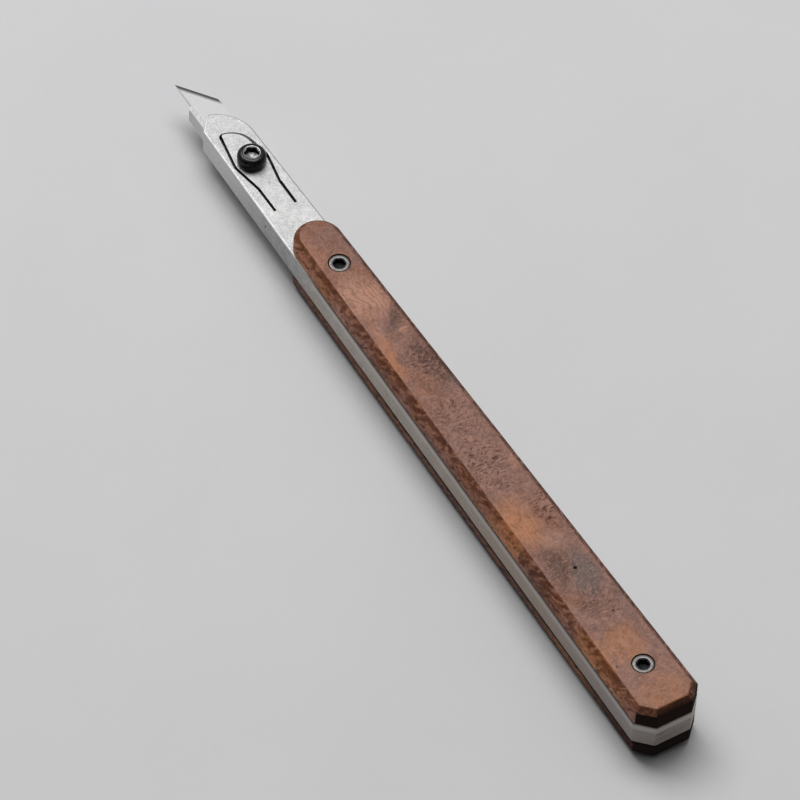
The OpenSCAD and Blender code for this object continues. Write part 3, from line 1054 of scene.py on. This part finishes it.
def sanded_edges(flush):
    """A test for edges that sandpaper reaches: not at a bore, nor at the height flush."""

    def reached(edge):
        return not at_bore(edge) and abs(middle(edge).z - flush) > FLUSH_REACH

    return reached


upper_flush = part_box("upper_scale")[0].z
lower_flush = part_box("lower_scale")[1].z
for node, flush, wood in (
    ("upper_scale", upper_flush, upper_wood),
    ("lower_scale", lower_flush, lower_wood),
):
    shape = softened(node, [(sanded_edges(flush), SANDED_EDGE, 3)])
    finish_piece(shape, node + "_wood", node, [wood])

# %% [markdown]
# ## The upper plate and the tongue
# One plate is cut from sheet, and the slit in it leaves the tongue. Tumbling rounds the
# outer rim. The slit comes later and keeps a crisp edge with only a touch of a bevel, and
# where the tongue grows out of the plate there is no edge at all.
# The tongue is its own piece because it moves. The slit's walls are found by their place
# and by which way they face, and get the wire-cut steel.

# %% Edges of the upper plate
tongue_low, tongue_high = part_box("clamp_tongue")
plate_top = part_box("upper_plate")[1].z
SAME_PLACE = 0.02 * MM
SLIT_BESIDE = 0.6 * MM
SLIT_AHEAD = 0.7 * MM
SLIT_BEHIND = 0.1 * MM


def at_root(edge):
    """Whether an edge lies where the tongue grows out of the plate."""
    return all(abs(v.co.x - TONGUE_ROOT) < SAME_PLACE for v in edge.verts)


def on_top(edge):
    """Whether an edge lies in the upper plate's top face."""
    return all(abs(v.co.z - plate_top) < SAME_PLACE for v in edge.verts)


def near_tongue(spot):
    """Whether a point lies in the slit round the tongue, or inside it."""
    inside = abs(spot.y) < (tongue_high.y - tongue_low.y) / 2 + SLIT_BESIDE
    return inside and TONGUE_ROOT - SLIT_BEHIND < spot.x < tongue_high.x + SLIT_AHEAD


def at_slit(edge):
    """Whether an edge borders the top of the slit."""
    return on_top(edge) and near_tongue(middle(edge)) and not at_root(edge)


def at_rim(edge):
    """Whether an edge runs round the outside of the upper plate's top face."""
    spot = middle(edge)
    return not near_tongue(spot) and not at_bore(edge) and abs(spot.z - plate_top) < SAME_PLACE


print("plate top in mm:", round(plate_top / MM, 2), "tongue root:", round(TONGUE_ROOT / MM, 2))

# %% Upper plate and spring tongue
TUMBLED_RIM = 0.35
SLIT_EDGE = 0.05


def mark_cut_walls(shape, facing_tongue):
    """Gives the slit's upright walls the second material. Returns the shape."""
    heart = (tongue_low + tongue_high) / 2
    for face in shape.faces:
        spot = face.calc_center_median()
        inwards = face.normal.dot(heart - spot) > 0
        if abs(face.normal.z) < 0.5 and near_tongue(spot) and inwards == facing_tongue:
            face.material_index = 1
    return shape


steels = [plate_steel, cut_steel]
plate_passes = [(at_slit, SLIT_EDGE, 1), (at_rim, TUMBLED_RIM, 3)]
upper_shape = mark_cut_walls(softened("upper_plate", plate_passes), True)
finish_piece(upper_shape, "upper_plate_steel", "upper_plate", steels)
tongue_shape = mark_cut_walls(softened("clamp_tongue", [(at_slit, SLIT_EDGE, 1)]), False)
finish_piece(tongue_shape, "clamp_tongue_steel", "clamp_tongue", steels)

# %% [markdown]
# ## The lower plate
# The lower plate carries the blade in a channel and reaches past the nose in a lip. Its
# underside is tumbled round like the other plate's top, and the lip keeps a narrow bevel,
# so that the blade still lies flat on it.

# %% Lower plate and its lip
lower_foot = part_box("lower_plate")[0].z
LIP_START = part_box("upper_plate")[1].x
LIP_ABOVE = 1 * MM
TUMBLED_FOOT = 0.2
LIP_EDGE = 0.08


def at_foot(edge):
    """Whether an edge runs round the lower plate's underside."""
    return abs(middle(edge).z - lower_foot) < SAME_PLACE and not at_bore(edge)


def at_lip(edge):
    """Whether an edge belongs to the lip in front of the upper plate."""
    return middle(edge).x > LIP_START and middle(edge).z > lower_foot + LIP_ABOVE


lower_shape = softened("lower_plate", [(at_foot, TUMBLED_FOOT, 3), (at_lip, LIP_EDGE, 1)])
finish_piece(lower_shape, "lower_plate_steel", "lower_plate", [plate_steel])

# %% [markdown]
# ## Turned fasteners
# A screw is turned on a lathe, so it is drawn as one: a circle of edges is extruded ring by
# ring along a profile of radius and height. A spin would do the same for round parts. With
# rings, the hex socket can be part of the same skin: a ring is pulled from a circle to a
# hexagon, because every hexagon corner falls on a vertex.

# %% Ring by ring
RING_STEPS = 48


def hexagon_radius(angle, across_flats):
    """Distance from a hexagon's centre to its side at this angle."""
    sector = math.radians(60)
    from_flat = (angle % sector) - sector / 2
    return across_flats / 2 / math.cos(from_flat)


def turned_shape(axis_x, profile):
    """A closed skin through rings of (radius or None, height, hexagon across flats or None), in mm."""
    shape = bmesh.new()
    first = bmesh.ops.create_circle(shape, cap_ends=True, segments=RING_STEPS, radius=1.0)["verts"]
    angles = {v: math.atan2(v.co.y, v.co.x) for v in first}

    def place(verts, ring):
        radius, height, flats = ring
        for v in verts:
            reach = hexagon_radius(angles[v], flats) if flats else radius
            v.co = Vector((reach * math.cos(angles[v]), reach * math.sin(angles[v]), height)) * MM

    place(first, profile[0])
    edges = [e for e in shape.edges if len(e.link_faces) == 1]
    for ring in profile[1:]:
        grown = bmesh.ops.extrude_edge_only(shape, edges=edges)["geom"]
        verts = [g for g in grown if isinstance(g, bmesh.types.BMVert)]
        edges = [g for g in grown if isinstance(g, bmesh.types.BMEdge) and g.is_boundary]
        angles.update({v: math.atan2(v.co.y, v.co.x) for v in verts})
        place(verts, ring)
    bmesh.ops.edgeloop_fill(shape, edges=edges)
    bmesh.ops.translate(shape, verts=shape.verts[:], vec=(axis_x, 0, 0))
    bmesh.ops.recalc_face_normals(shape, faces=shape.faces[:])
    return shape


def arc(centre_r, centre_z, radius, start, end, count):
    """Rings along an arc of a profile, from start to end in degrees."""
    rings = []
    for i in range(count + 1):
        angle = math.radians(start + (end - start) * i / count)
        rings.append((centre_r + radius * math.cos(angle), centre_z + radius * math.sin(angle), None))
    return rings


print("steps in a ring:", RING_STEPS)

# %% The clamp screw
HEAD_R = (head_high.y - head_low.y) / 2 / MM
HEAD_TOP = head_high.z / MM
HEAD_SEAT = plate_top / MM
HEAD_CHAMFER = 0.15
SHANK_R = 1.3
SHANK_END = head_low.z / MM
SHANK_CHAMFER = 0.35
SHOULDER_R = 1.0
CLAMP_KEY = 2.5
CLAMP_SOCKET = 1.4
CLAMP_CONE = 0.25
CLAMP_CONE_R = 0.4
# The socket's mouth: two rings round the key, and how far its cone goes down
MOUTH_OUTER = CLAMP_KEY / 2 + 0.34
MOUTH_INNER = CLAMP_KEY / 2 + 0.26
MOUTH_DROP = 0.04
MOUTH_CONE = 0.2

clamp_profile = [
    (SHANK_R - SHANK_CHAMFER, SHANK_END, None),
    (SHANK_R, SHANK_END + SHANK_CHAMFER, None),
    (SHANK_R, HEAD_SEAT, None),
    (HEAD_R - HEAD_CHAMFER, HEAD_SEAT, None),
    (HEAD_R, HEAD_SEAT + HEAD_CHAMFER, None),
    *arc(HEAD_R - SHOULDER_R, HEAD_TOP - SHOULDER_R, SHOULDER_R, 0, 90, 8),
    (MOUTH_OUTER, HEAD_TOP, None),
    (MOUTH_INNER, HEAD_TOP - MOUTH_DROP, None),
    (None, HEAD_TOP - MOUTH_CONE, CLAMP_KEY),
    (None, HEAD_TOP - CLAMP_SOCKET, CLAMP_KEY),
    (CLAMP_CONE_R, HEAD_TOP - CLAMP_SOCKET - CLAMP_CONE, None),
]
clamp_shape = turned_shape(CLAMP_AXIS, clamp_profile)
finish_piece(clamp_shape, "clamp_screw_black", "clamp_screw", [black_oxide])

# %% [markdown]
# ## The handle screws and their nuts
# Two screws hold the handle together. Each runs into a sleeve nut from the other side, and
# both ends are sanded flush and take a key. So a nut's profile is the screw's head turned
# over, with a bore where the screw has its shank.

# %% Handle screws and sleeve nuts
PILLAR_R = 1.95
PILLAR_HEAD = 1.9
PILLAR_KEY = 2.0
PILLAR_SOCKET = 1.2
PILLAR_CONE = 0.2
PILLAR_CONE_R = 0.3
PILLAR_MOUTH_R = PILLAR_KEY / 2 + 0.36
PILLAR_MOUTH_CONE = 0.16
PILLAR_SHANK_R = 1.0
PILLAR_CHAMFER = 0.2
SLEEVE_R = 1.6
SLEEVE_BORE_R = 1.02
RIM = 0.05

for end, axis in (("front", FRONT_AXIS), ("rear", REAR_AXIS)):
    face_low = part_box(end + "_sleeve_nut")[0].z
    face_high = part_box(end + "_handle_screw")[1].z
    bright = sanded_screw(end + "_sanded_screw", axis, face_low, face_high)
    low, high = (v.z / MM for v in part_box(end + "_handle_screw"))
    screw_profile = [
        (PILLAR_SHANK_R - PILLAR_CHAMFER, low, None),
        (PILLAR_SHANK_R, low + PILLAR_CHAMFER, None),
        (PILLAR_SHANK_R, high - PILLAR_HEAD, None),
        (PILLAR_R, high - PILLAR_HEAD, None),
        (PILLAR_R, high - RIM, None),
        (PILLAR_R - RIM, high, None),
        (PILLAR_MOUTH_R, high, None),
        (None, high - PILLAR_MOUTH_CONE, PILLAR_KEY),
        (None, high - PILLAR_SOCKET, PILLAR_KEY),
        (PILLAR_CONE_R, high - PILLAR_SOCKET - PILLAR_CONE, None),
    ]
    shape = turned_shape(axis, screw_profile)
    finish_piece(shape, end + "_handle_screw_steel", end + "_handle_screw", [bright])
    low, high = (v.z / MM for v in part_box(end + "_sleeve_nut"))
    sleeve_profile = [
        (PILLAR_CONE_R, low + PILLAR_SOCKET + PILLAR_CONE, None),
        (None, low + PILLAR_SOCKET, PILLAR_KEY),
        (None, low + PILLAR_MOUTH_CONE, PILLAR_KEY),
        (PILLAR_MOUTH_R, low, None),
        (PILLAR_R - RIM, low, None),
        (PILLAR_R, low + RIM, None),
        (PILLAR_R, low + PILLAR_HEAD, None),
        (SLEEVE_R, low + PILLAR_HEAD, None),
        (SLEEVE_R, high, None),
        (SLEEVE_BORE_R, high, None),
        (SLEEVE_BORE_R, low + PILLAR_HEAD, None),
    ]
    shape = turned_shape(axis, sleeve_profile)
    finish_piece(shape, end + "_sleeve_nut_steel", end + "_sleeve_nut", [bright])

# %% [markdown]
# ## The blade
# The blade's solid stays as it is, since an edge that cuts has no rounding to add. It only
# gets the ground steel.

# %% Blade material
blade = frame["nodes"]["blade"]
blade.data.materials.clear()
blade.data.materials.append(blade_steel)
print("blade material:", blade.data.materials[0].name)

# %% [markdown]
# ## The floor
# The knife lies on a pale grey sheet. A single flat grey would look like no surface at all,
# so broad clouds and a fine tooth vary it a little.

# %% Floor
FLOOR_PALE = (0.60, 0.60, 0.605, 1)
FLOOR_GREY = (0.565, 0.565, 0.572, 1)
FLOOR_SIZE = 6.0
CLOUD_SHARE = 0.6
TOOTH_SHARE = 0.2

sheet, tree, shader, coordinates = new_material("pale_sheet")
cloud = mottled(tree, (coordinates, "Object"), 60, 0.25)
tooth = mottled(tree, (coordinates, "Object"), 1.2, 0.25)
share = maths(tree, "ADD", times(tree, cloud, CLOUD_SHARE), times(tree, tooth, TOOTH_SHARE))
join(tree, mix_colours(tree, share, FLOOR_PALE, FLOOR_GREY), (shader, "Base Color"))
shader.inputs["Roughness"].default_value = 0.75
shader.inputs["Specular IOR Level"].default_value = 0.2

floor_shape = bmesh.new()
bmesh.ops.create_grid(floor_shape, x_segments=4, y_segments=4, size=FLOOR_SIZE / 2)
floor_mesh = bpy.data.meshes.new("floor")
floor_shape.to_mesh(floor_mesh)
floor_shape.free()
floor_mesh.materials.append(sheet)
floor = bpy.data.objects.new("floor", floor_mesh)
bpy.context.scene.collection.objects.link(floor)
floor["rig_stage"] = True
print("floor in m:", FLOOR_SIZE)

# %% [markdown]
# ## The light
# One long soft box hangs overhead, tilted a little forward, and leaves a short soft shadow
# on the near side. It is turned so that level steel doesn't mirror it. A point lamp would
# draw hard shadows, and an even sky none at all.
# The sky is a gradient, bright ahead on the right and dim elsewhere, so that steel has
# something to show.

# %% Soft box
KEY_DIRECTION = Vector((0.36, -0.07, 0.93)).normalized()
KEY_LENGTHWISE = Vector((0.84, 0.54, 0))
KEY_DISTANCE = 1.0
KEY_LENGTH = 1.0
KEY_WIDTH = 0.5
KEY_POWER = 9.05

key_data = bpy.data.lights.new("soft_light", "AREA")
key_data.shape = "RECTANGLE"
key_data.size = KEY_LENGTH
key_data.size_y = KEY_WIDTH
key_data.energy = KEY_POWER
key = bpy.data.objects.new("soft_light", key_data)
across = KEY_DIRECTION.cross(KEY_LENGTHWISE).normalized()
lengthwise = across.cross(KEY_DIRECTION)
aim = Matrix((lengthwise, across, KEY_DIRECTION)).transposed().to_4x4()
key.matrix_world = Matrix.Translation(KEY_DIRECTION * KEY_DISTANCE) @ aim
bpy.context.scene.collection.objects.link(key)
print("soft box in m:", KEY_LENGTH, "by", KEY_WIDTH)

# %% Sky
SKY_BRIGHT = (0.50, 0.50, 0.507, 1)
SKY_DIM = (0.035, 0.035, 0.036, 1)
SKY_DIRECTION = Vector((0.70, -0.35, 0.62)).normalized()

world = bpy.data.worlds.new("studio")
world.use_nodes = True
bpy.context.scene.world = world
tree = world.node_tree
background = tree.nodes["Background"]
direction = add(tree, "ShaderNodeTexCoord")
towards = add(tree, "ShaderNodeVectorMath", operation="DOT_PRODUCT")
towards.inputs[1].default_value = SKY_DIRECTION
join(tree, (direction, "Generated"), (towards, 0))
rise = range_of(tree, (towards, "Value"), -0.05, 0.9)
join(tree, mix_colours(tree, rise, SKY_DIM, SKY_BRIGHT), (background, "Color"))
bpy.context.scene.view_settings.view_transform = "Standard"
print("sky nodes:", len(tree.nodes))

# %% [markdown]
# ## Sizes
# The dressed knife keeps the solids' size. Both boxes are printed.

# %% Write the sizes and finish
low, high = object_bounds()
print("visual size in mm:", [round(v / MM, 2) for v in high - low])
